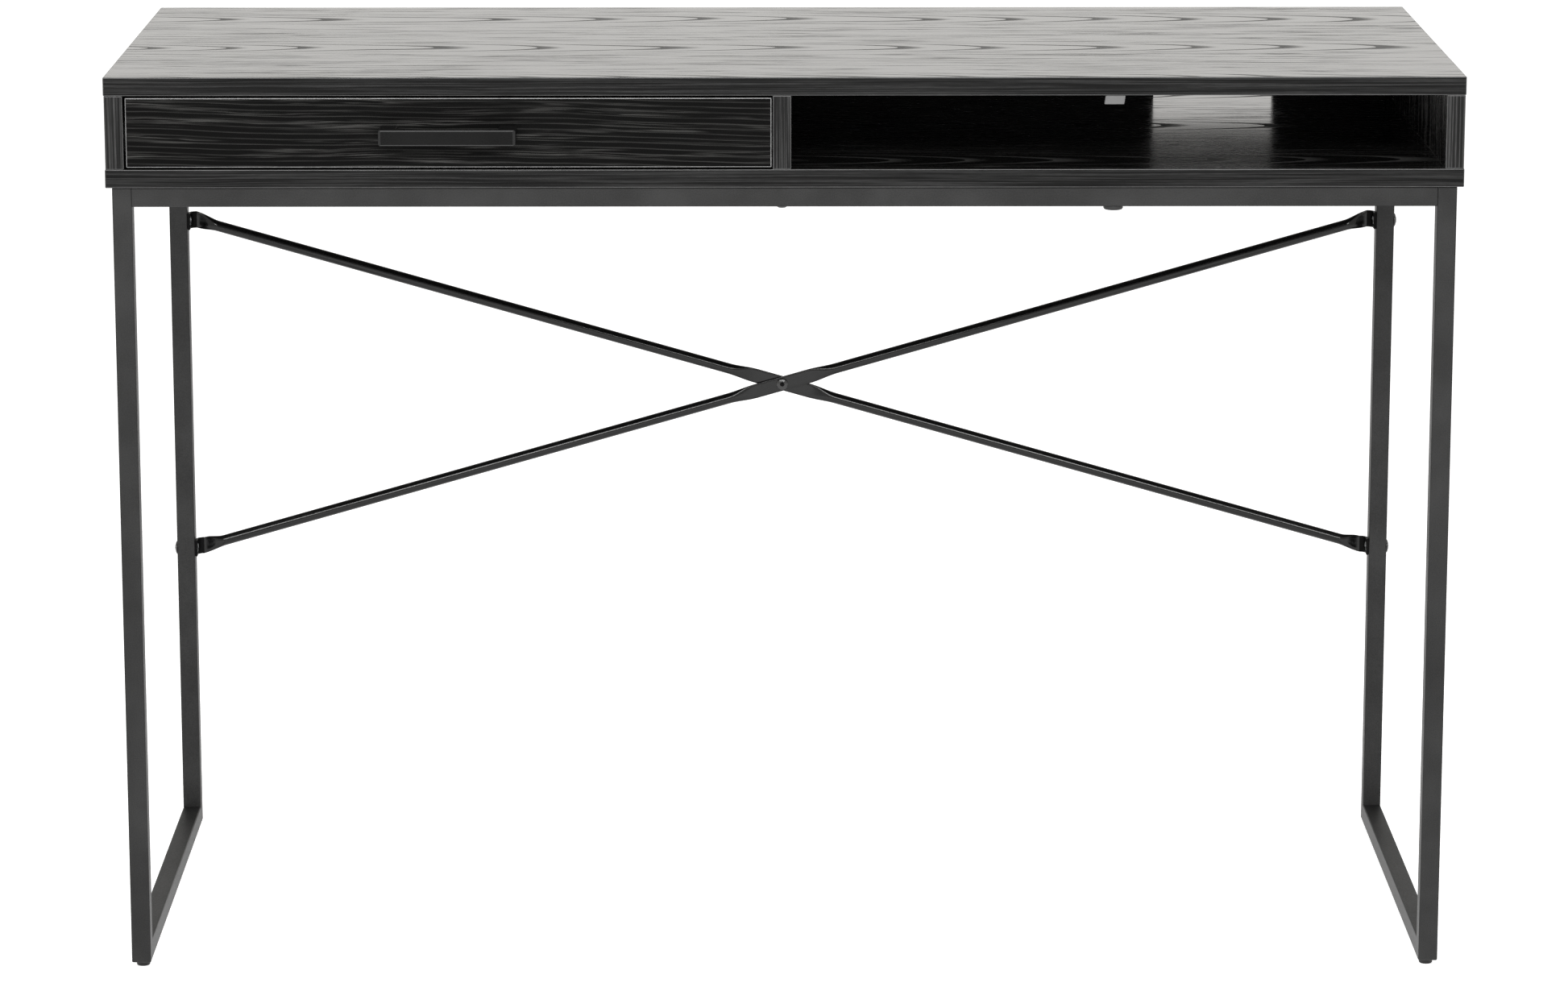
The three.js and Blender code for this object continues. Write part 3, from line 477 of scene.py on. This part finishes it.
def rounded(node, width, longer_than, segments=3):
    """A copy of a CAD node whose long outer edges are rounded, and the faces that rounding made."""
    shape = copied(node)
    edges = [
        edge
        for edge in shape.edges
        if edge.is_manifold
        and edge.is_convex
        and edge.calc_length() > longer_than
        and edge.calc_face_angle() > CORNER_ANGLE
    ]
    made = bmesh.ops.bevel(
        shape, geom=edges, offset=width, offset_type="OFFSET", segments=segments,
        profile=0.5, affect="EDGES", clamp_overlap=True,
    )
    return shape, made["faces"]


def board(node, thin, face, band, ends=None, corner="edge_highlight"):
    """A board: wood on its two big faces, a band on its edges and a rounding painted lighter as a
    highlight.

    thin is the axis across the board. The edges that face along the ends axis have a band with
    its streaks along Y.
    """
    shape, corners = rounded(node, BOARD_ROUNDING, BOARD_SHORT_EDGE)
    for part in shape.faces:
        part.normal_update()
        if abs(part.normal[AXES[thin]]) > SQUARE_TO_AXIS:
            part.material_index = 0
        elif ends and abs(part.normal[AXES[ends]]) > SQUARE_TO_AXIS:
            part.material_index = 2
        else:
            part.material_index = 1
    for rounding in corners:
        rounding.material_index = 3
    shade(shape)
    add_piece(node, shape, [MATERIALS[name] for name in (face, band, "band_y", corner)])


def plain(node, material, width, longer_than=SMALL_SHORT_EDGE, segments=3, edge=None):
    """A CAD node with rounded edges, in one material or with another on all its slants."""
    shape, _ = rounded(node, width, longer_than, segments)
    for face in shape.faces:
        face.normal_update()
        slanted = max(abs(part) for part in face.normal) < SQUARE_TO_AXIS
        face.material_index = 1 if slanted else 0
    shade(shape)
    add_piece(node, shape, [MATERIALS[material], MATERIALS[edge or material]])


def drilled(shape, holes):
    """A bmesh with bolt holes cut through it, each given as its centre and direction.

    It takes the place of the bmesh that it is given, which is freed.
    """
    cutter = bmesh.new()
    for centre, direction in holes:
        turn = Vector((0, 0, 1)).rotation_difference(direction).to_matrix().to_4x4()
        turn.translation = centre
        bmesh.ops.create_cone(
            cutter, cap_ends=True, segments=ROUND_SIDES, radius1=BOLT_HOLE_RADIUS,
            radius2=BOLT_HOLE_RADIUS, depth=BOLT_HOLE_LENGTH, matrix=turn,
        )
    solids = []
    for solid in (shape, cutter):
        mesh = bpy.data.meshes.new("drilling")
        solid.to_mesh(mesh)
        solid.free()
        solids.append(add_object("drilling", mesh))
    work, tool = solids
    cut = work.modifiers.new("holes", "BOOLEAN")
    cut.operation = "DIFFERENCE"
    cut.solver = "EXACT"
    cut.object = tool
    result = bmesh.new()
    result.from_object(work, bpy.context.evaluated_depsgraph_get())
    for solid in solids:
        bpy.data.meshes.remove(solid.data)
    return result


def skin(shape, pairs):
    """Four-sided faces between the two rings of each pair."""
    for below, above in pairs:
        for i in range(len(below)):
            j = (i + 1) % len(below)
            shape.faces.new((below[i], below[j], above[j], above[i]))


def ring_points(outline, radius):
    """One ring of a turned shape: round, or a hexagon given by the radius of its corners."""
    points = []
    for i in range(ROUND_SIDES):
        angle = 2 * math.pi * i / ROUND_SIDES
        reach = radius
        if outline == "hexagon":
            from_flat = (angle % (math.pi / 3)) - math.pi / 6
            reach = radius * math.cos(math.pi / 6) / math.cos(from_flat)
        points.append((reach * math.cos(angle), reach * math.sin(angle)))
    return points


def turned(node, axis, rings, material, closed=False):
    """A turned piece on the axis of a CAD node.

    axis is the direction in which the rings' heights count, from the node's end face. Each ring is
    (radius, height) in millimetres, or (radius, height, "hexagon"). A closed piece has a hole
    along its axis, and its last ring joins its first.
    """
    low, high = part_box(node)
    direction = Vector(axis)
    size = high - low
    start = (low + high) / 2 - direction * abs(size.dot(direction)) / 2
    first = direction.orthogonal().normalized()
    second = direction.cross(first)
    shape = bmesh.new()
    loops = []
    for radius, height, *outline in rings:
        middle = start + direction * height * MM
        loops.append(
            [
                shape.verts.new(middle + first * x * MM + second * y * MM)
                for x, y in ring_points(outline[0] if outline else "round", radius)
            ]
        )
    pairs = list(zip(loops, loops[1:]))
    if closed:
        pairs.append((loops[-1], loops[0]))
    skin(shape, pairs)
    bmesh.ops.remove_doubles(shape, verts=shape.verts, dist=MERGE)
    bmesh.ops.dissolve_degenerate(shape, edges=shape.edges, dist=MERGE)
    bmesh.ops.recalc_face_normals(shape, faces=shape.faces)
    shade(shape)
    add_piece(node, shape, [MATERIALS[material]])


def socket(radius, depth):
    """Rings from the drilled tip of a hexagon socket out to its rim, for the start of a head."""
    return [
        (0, depth + radius * SOCKET_TIP),
        (radius * 0.86, depth, "hexagon"),
        (radius * 0.97, depth - 0.15, "hexagon"),
        (radius, 0.1, "hexagon"),
        (radius + 0.25, 0, "hexagon"),
    ]


def dome(radius, height, socket_radius):
    """Rings of a domed bolt head with a hexagon socket, from its socket to its flat underside."""
    flat_width = 0.6
    top = 0.1
    straight_height = 0.35
    chamfer = 0.12
    rings = socket(socket_radius, height * DOME_SOCKET)
    first = math.asin((socket_radius + flat_width) / radius)
    for i in range(DOME_STEPS + 1):
        angle = first + (math.pi / 2 - first) * i / DOME_STEPS
        drop = (height - top - straight_height) * (1 - math.cos(angle))
        rings.append((radius * math.sin(angle), top + drop))
    rings += [(radius, height - chamfer), (radius - chamfer, height)]
    return rings


def shank(radius, start, end):
    """Rings of a plain shank with a chamfered tip."""
    chamfer = 0.5
    return [(radius, start), (radius, end - chamfer), (radius - chamfer, end), (0, end)]


def in_hole(face, centre, direction):
    """Whether a face is part of the wall of a bolt hole."""
    to_face = face.calc_center_median() - centre
    from_axis = to_face - direction * to_face.dot(direction)
    return from_axis.length < BOLT_HOLE_RADIUS and to_face.length < BOLT_HOLE_LENGTH / 2


# ---- The cross brace ----


def smoothstep(value, start, end):
    """A smooth rise from 0 at the start to 1 at the end."""
    share = min(max((value - start) / (end - start), 0.0), 1.0)
    return share * share * (3 - 2 * share)


def brace_section(centre, across, through, width, thickness, squareness):
    """A closed ring of points: an ellipse at squareness 0, and nearly a rectangle at 1."""
    power = 1 - PRESSED_SQUARENESS * squareness

    def shaped(value):
        return math.copysign(abs(value) ** power, value)

    ring = []
    for i in range(BRACE_SIDES):
        angle = 2 * math.pi * (i + 0.5) / BRACE_SIDES
        reach = across * shaped(math.cos(angle)) * width / 2
        ring.append(centre + reach + through * shaped(math.sin(angle)) * thickness / 2)
    return ring


def half_brace(end, rise, middle, flat_y, half_run, half_climb, tab_front):
    """The rings of half a brace, from the crossing to the tab on a rear leg.

    end is 1 for the right half, rise is 1 where this half climbs from the crossing, and flat_y is
    the middle of the pressed stretch there. half_run and half_climb are how far the tab lies from
    the crossing along X and Z.
    """
    run = half_run - PRESSED_THICKNESS / 2 - TAB_BEND
    climb = rise * half_climb
    length = math.hypot(run, climb)
    along = Vector((end * run, 0, climb)) / length
    up = Vector((0, 0, 1))
    depth = Vector((0, 1, 0))
    square = along.cross(depth) * end
    blade_y = tab_front + LEG_DEPTH - BLADE_SETBACK - PRESSED_THICKNESS / 2

    def straight(distance, pressed, pressed_y, pressed_width):
        """A ring at a distance from the crossing: round where pressed is 0, and flat at 1."""
        centre = middle + along * distance
        centre.y = middle.y + (pressed_y - middle.y) * pressed
        near_end = smoothstep(distance, length - TAB_TAPER, length)
        width = 2 * BRACE_RADIUS + (pressed_width - 2 * BRACE_RADIUS) * pressed
        thickness = 2 * BRACE_RADIUS + (PRESSED_THICKNESS - 2 * BRACE_RADIUS) * pressed
        across = square.lerp(up, near_end).normalized()
        return brace_section(centre, across, depth, width, thickness, pressed)

    rings = [straight(d, 1, flat_y, CROSSING_WIDTH) for d in (0, CROSSING_FLAT / 2, CROSSING_FLAT)]
    for i in range(1, TAPER_STEPS + 1):
        step = i / TAPER_STEPS
        distance = CROSSING_FLAT + step * CROSSING_TAPER
        rings.append(straight(distance, 1 - smoothstep(step, 0, 1), flat_y, CROSSING_WIDTH))
    plain_start = CROSSING_FLAT + CROSSING_TAPER
    plain_length = length - TAB_TAPER - plain_start
    for i in range(1, PLAIN_STEPS):
        distance = plain_start + plain_length * i / PLAIN_STEPS
        rings.append(straight(distance, 0, blade_y, TAB_WIDTH))
    for i in range(TAPER_STEPS + 1):
        step = i / TAPER_STEPS
        distance = length - TAB_TAPER * (1 - step)
        rings.append(straight(distance, smoothstep(step, 0, 1), blade_y, TAB_WIDTH))

    tab_z = middle.z + climb
    for i in range(1, BEND_STEPS + 1):
        angle = math.pi / 2 * i / BEND_STEPS
        bend_x = end * (run + TAB_BEND * math.sin(angle))
        bend_y = blade_y - TAB_BEND * (1 - math.cos(angle))
        centre = Vector((bend_x, bend_y, tab_z))
        through = Vector((end * math.sin(angle), math.cos(angle), 0))
        rings.append(brace_section(centre, up, through, TAB_WIDTH, PRESSED_THICKNESS, 1))
    tip = Vector((end * (run + TAB_BEND), tab_front, tab_z))
    through = Vector((end, 0, 0))
    rings.append(brace_section(tip, up, through, TAB_WIDTH, PRESSED_THICKNESS, 1))
    return rings


def brace(node, slope, layer):
    """A whole brace. slope is 1 if it rises to the right, and layer is -1 for the front one."""
    low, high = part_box(node)
    half_run = (high.x - low.x) / 2
    half_climb = (high.z - low.z - TAB_WIDTH) / 2
    tab_front = low.y
    leg_back = tab_front + LEG_DEPTH
    middle = Vector((0, leg_back - CROSSING_SETBACK, (low.z + high.z) / 2))
    flat_y = middle.y + layer * (PRESSED_THICKNESS / 2 + PRESSED_GAP)
    common = (middle, flat_y, half_run, half_climb, tab_front)
    left = half_brace(-1, -slope, *common)
    right = half_brace(1, slope, *common)
    shape = bmesh.new()
    loops = []
    for ring in [*reversed(left[1:]), *right]:
        loops.append([shape.verts.new(point) for point in ring])
    skin(shape, zip(loops, loops[1:]))
    shape.faces.new(reversed(loops[0]))
    shape.faces.new(loops[-1])
    bmesh.ops.recalc_face_normals(shape, faces=shape.faces)
    holes = [(middle, Vector((0, 1, 0)))]
    for side in (-1, 1):
        level = "upper" if side == slope else "lower"
        bolt = sum(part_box(f"brace_bolt_right_{level}"), Vector()) / 2
        tab_x = side * (half_run - PRESSED_THICKNESS / 2)
        holes.append((Vector((tab_x, bolt.y, bolt.z)), Vector((1, 0, 0))))
    shape = drilled(shape, holes)
    bend_start = half_run - PRESSED_THICKNESS / 2 - TAB_BEND
    # Faces in the bends take the darker copy of the brace paint, as painted shade
    for face in shape.faces:
        bare = any(in_hole(face, *hole) for hole in holes)
        bent = abs(face.calc_center_median().x) > bend_start
        face.material_index = 2 if bare else 1 if bent else 0
    shade(shape, BRACE_SHARP_ANGLE)
    add_piece(node, shape, [MATERIALS[name] for name in ("brace", "bend_shade", "zinc")])


# ---- The desk ----


def make_boards():
    board("desktop_top", "z", "top", "band_x", ends="x")
    board("bottom_panel", "z", "shelf", "band_x", ends="x")
    for node in ("left_side_panel", "right_side_panel", "centre_divider"):
        board(node, "x", "upright", "band_z")
    board("back_panel", "y", "back", "band_x")
    board("drawer_front", "y", "front", "band_x", corner="front_edge_highlight")
    for node in ("drawer_left_side", "drawer_right_side"):
        board(node, "x", "box_side", "band_y")
    board("drawer_back", "y", "box_back", "band_x")
    plain("drawer_bottom", "box_bottom", SHEET_ROUNDING)


def make_steel():
    for side in ("left", "right"):
        plain(f"side_frame_{side}", "powder", TUBE_ROUNDING, longer_than=TUBE_SHORT_EDGE)
        for part in ("cabinet", "drawer"):
            plain(f"{part}_runner_{side}", "runner", SHEET_ROUNDING, RUNNER_SHORT_EDGE)
    for end in ("front", "rear"):
        plain(f"{end}_rail", "powder", TUBE_ROUNDING, longer_than=RAIL_SHORT_EDGE)
    brace("brace_front", slope=1, layer=-1)
    brace("brace_rear", slope=-1, layer=1)
    # The handle's slanted chamfer faces take the lit copy of its coating, as a painted highlight
    plain("drawer_handle", "handle", HANDLE_CHAMFER, segments=1, edge="handle_highlight_edge")
    plain("crossing_nut", "bolt", SHEET_ROUNDING, longer_than=NUT_SHORT_EDGE)
    plain("underside_clip", "clip", CLIP_ROUNDING)


def make_fasteners():
    """Bolts and screws, with their rings in millimetres from the top of the head."""
    middle_head = dome(radius=5.3, height=2.2, socket_radius=2.1)
    middle_bolt = middle_head + shank(radius=3, start=2.2, end=10.5)
    turned("crossing_bolt", (0, 1, 0), middle_bolt, "bolt")
    end_head = dome(radius=6, height=2.3, socket_radius=2.3)
    end_bolt = end_head + shank(radius=3, start=2.3, end=20.6)
    turned("brace_bolt_left_lower", (1, 0, 0), end_bolt, "bolt")
    for level in ("upper", "lower"):
        turned(f"brace_bolt_right_{level}", (-1, 0, 0), end_bolt, "bolt")

    frame_head = socket(radius=1.8, depth=0.9)
    frame_head += [(3.3, 0), (4.6, 1.1), (4.75, 1.4), (4.75, 1.7), (4.6, 1.8)]
    short = frame_head + shank(radius=2, start=1.8, end=28.8)
    long = frame_head + shank(radius=2, start=1.8, end=57.8)
    for end in ("front", "rear"):
        turned(f"{end}_rail_screw", (0, 0, 1), long, "bolt")
        for side in ("left", "right"):
            turned(f"frame_screw_{side}_{end}", (0, 0, 1), short, "bolt")

    connector = socket(radius=2.2, depth=2.0)
    connector += [(4.6, 0), (4.8, 0.2), (4.8, 1), (3.3, 3), (3.3, 44), (0, 48)]
    for place in ("left_front", "left_rear", "right_front", "right_rear", "divider"):
        turned(f"confirmat_screw_{place}", (0, 0, 1), connector, "zinc")

    pan_head = socket(radius=1.5, depth=0.9)
    pan_head += [(2.6, 0.05), (3.5, 0.45), (4, 1.2), (4, 2.3), (3.9, 2.4)]
    handle_screw = pan_head + shank(radius=2, start=2.4, end=28.4)
    for side in ("left", "right"):
        turned(f"handle_screw_{side}", (0, -1, 0), handle_screw, "zinc")


def make_feet():
    """The glides and the rail's pad: a foot with a plug that goes up into the tube."""
    glide = [(0, 0), (4.4, 0), (5.2, 0.3), (5.6, 1.0), (5.6, 5.6), (5.2, 6)]
    glide += [(2.5, 6), (2.5, 14), (0, 14)]
    for side in ("left", "right"):
        for end in ("front", "rear"):
            turned(f"foot_{side}_{end}", (0, 0, 1), glide, "plastic")
    pad = [(0, 0), (6.2, 0), (7.4, 0.4), (8, 1.4), (8, 3.3), (7.7, 3.6)]
    pad += [(2, 3.6), (2, 10.6), (0, 10.6)]
    turned("rail_pad", (0, 0, 1), pad, "plastic")


def make_rollers():
    """Rollers and the axles that are riveted over on them, with their rings in millimetres."""
    width = 5.8
    half_tread = [
        (2.65, 0), (4.2, 0), (4.5, 0.5), (7.0, 0.5), (7.4, 0), (8.2, 0), (8.6, 0.25), (8.7, 0.7),
    ]
    tread = half_tread + [(radius, width - height) for radius, height in reversed(half_tread)]
    shoulder_play = 0.15
    for part, shoulder, directions in (
        ("cabinet", 1.0, {"left": 1, "right": -1}),
        ("drawer", 2.2, {"left": -1, "right": 1}),
    ):
        shoulder_end = shoulder - shoulder_play
        seat = shoulder + width + 2 * shoulder_play
        axle = [(0, 0), (4, 0), (4, shoulder_end), (2.5, shoulder_end), (2.5, seat)]
        rivet = [(3.7, 0), (3.6, 0.4), (3.0, 0.8), (1.6, 0.9), (1.4, 0.6), (0, 0.5)]
        axle += [(radius, seat + height) for radius, height in rivet]
        for side, direction in directions.items():
            turned(f"{part}_roller_{side}", (direction, 0, 0), tread, "roller", closed=True)
            turned(f"{part}_axle_{side}", (direction, 0, 0), axle, "zinc")


def dress_hidden_parts():
    """The dowels keep their CAD shape, since they are buried in the boards."""
    for side in ("left", "right"):
        for end in ("front", "rear"):
            mesh = frame["nodes"][f"dowel_{side}_{end}"].data
            mesh.materials.clear()
            mesh.materials.append(MATERIALS["beech"])


# ---- Studio ----


def make_floor():
    """A wide white floor, which glows a little so that it is as bright as the room."""
    corners = [(-1, -1), (1, -1), (1, 1), (-1, 1)]
    shape = bmesh.new()
    shape.faces.new(
        [shape.verts.new((x * FLOOR_REACH, y * FLOOR_REACH, cad_low.z)) for x, y in corners]
    )
    mesh = bpy.data.meshes.new("floor")
    shape.to_mesh(mesh)
    shape.free()
    look = Look("floor")
    look.set(base_color=(0.8, 0.8, 0.8, 1), roughness=0.9, specular_ior_level=0.1)
    look.set(emission_color=(1, 1, 1, 1), emission_strength=FLOOR_GLOW)
    mesh.materials.append(look.material)
    add_object("floor", mesh)


def make_world():
    """An even white room that is dimmer overhead."""
    world = bpy.data.worlds.new("studio")
    world.use_nodes = True
    tree = world.node_tree
    direction = tree.nodes.new("ShaderNodeTexCoord").outputs["Generated"]
    height = tree.nodes.new("ShaderNodeSeparateXYZ")
    tree.links.new(direction, height.inputs[0])
    level = tree.nodes.new("ShaderNodeMapRange")
    level.interpolation_type = "SMOOTHSTEP"
    for i, value in enumerate((*ROOM_FADE, *ROOM_LEVELS)):
        level.inputs[i + 1].default_value = value
    tree.links.new(height.outputs["Z"], level.inputs[0])
    tree.links.new(level.outputs[0], tree.nodes["Background"].inputs["Strength"])
    tree.nodes["Background"].inputs["Color"].default_value = ROOM_COLOUR
    bpy.context.scene.world = world


def make_softbox(name, place, target, size, power):
    """A rectangular light that faces its target and isn't seen itself."""
    light = bpy.data.lights.new(name, "AREA")
    light.shape = "RECTANGLE"
    light.size, light.size_y = size
    light.energy = power
    lamp = add_object(name, light)
    lamp.location = place
    aim = Vector(target) - Vector(place)
    lamp.rotation_euler = aim.to_track_quat("-Z", "Y").to_euler()
    lamp.visible_camera = False


def make_camera():
    """The main camera, far in front of the desk and a little above it."""
    data = bpy.data.cameras.new("camera")
    data.lens = CAMERA_LENS
    data.clip_end = CAMERA_REACH
    camera = add_object("camera", data)
    camera.location = CAMERA_PLACE
    camera.rotation_euler = (math.pi / 2 - CAMERA_PITCH, 0, -CAMERA_YAW)
    bpy.context.scene.camera = camera


def make_studio():
    make_camera()
    make_floor()
    make_world()
    make_softbox(
        "front_softbox", place=(0, -3.9, 2.55), target=(0, 0, 0.4), size=(4.4, 0.9), power=240
    )
    make_softbox(
        "top_softbox", place=(0, -0.9, 3.6), target=(0, -0.3, 0.7), size=(3.4, 1.2), power=55
    )
    bpy.context.scene.view_settings.view_transform = "Standard"


MATERIALS = make_materials()
make_boards()
make_steel()
make_fasteners()
make_feet()
make_rollers()
dress_hidden_parts()
make_studio()
